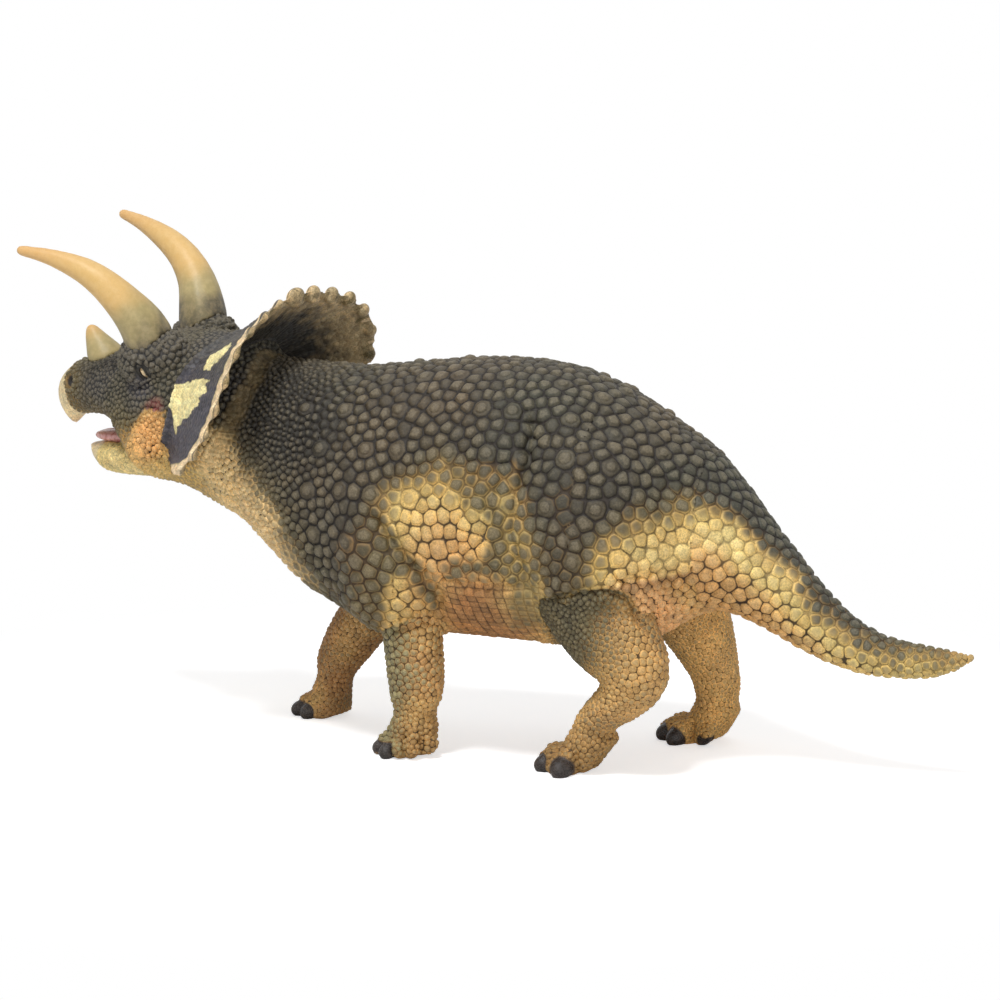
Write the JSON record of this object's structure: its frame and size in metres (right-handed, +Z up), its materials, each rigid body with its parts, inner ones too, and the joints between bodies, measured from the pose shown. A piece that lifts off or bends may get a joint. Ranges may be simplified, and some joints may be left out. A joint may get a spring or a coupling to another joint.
{
  "type": "toy dinosaur figure",
  "caption": "Moulded plastic figure of a striding horned dinosaur with a frill, open beak, long brow horns and a drooping tail; stands on flat soles.",
  "frame": {"origin": "on the ground under the middle of the figure's outline", "axes": "+Z up, -X the way the figure strides, -Y its left side"},
  "size_m": [0.2254, 0.065, 0.1154],
  "materials": {
    "body_skin": "satin PVC with pebbled scales, dark grey-green above fading through dull yellow to tan, dark wash in the grooves",
    "leg_skin": "satin PVC with small scales, golden tan shading to grey-brown, glossy dark brown hooves",
    "head_skin": "satin PVC with fine pebbles, dark grey-green face, orange-tan cheeks and a cream beak",
    "frill_skin": "satin PVC, charcoal with pale yellow patches in front, dark olive behind, cream rim",
    "horn": "smooth satin PVC, cream tan fading to grey-green at the base",
    "jaw_skin": "satin PVC with fine pebbles, tan with a cream beak",
    "tongue": "glossy painted pink"
  },
  "bodies": {
    "root": {"body_casting": "body_skin", "left_foreleg": "leg_skin", "right_foreleg": "leg_skin", "left_hind_leg": "leg_skin", "right_hind_leg": "leg_skin", "tail": "body_skin", "head_casting": "head_skin", "frill": "frill_skin", "left_brow_horn": "horn", "right_brow_horn": "horn", "nose_horn": "horn", "lower_jaw": "jaw_skin", "tongue": "tongue"}
  },
  "joints": []
}
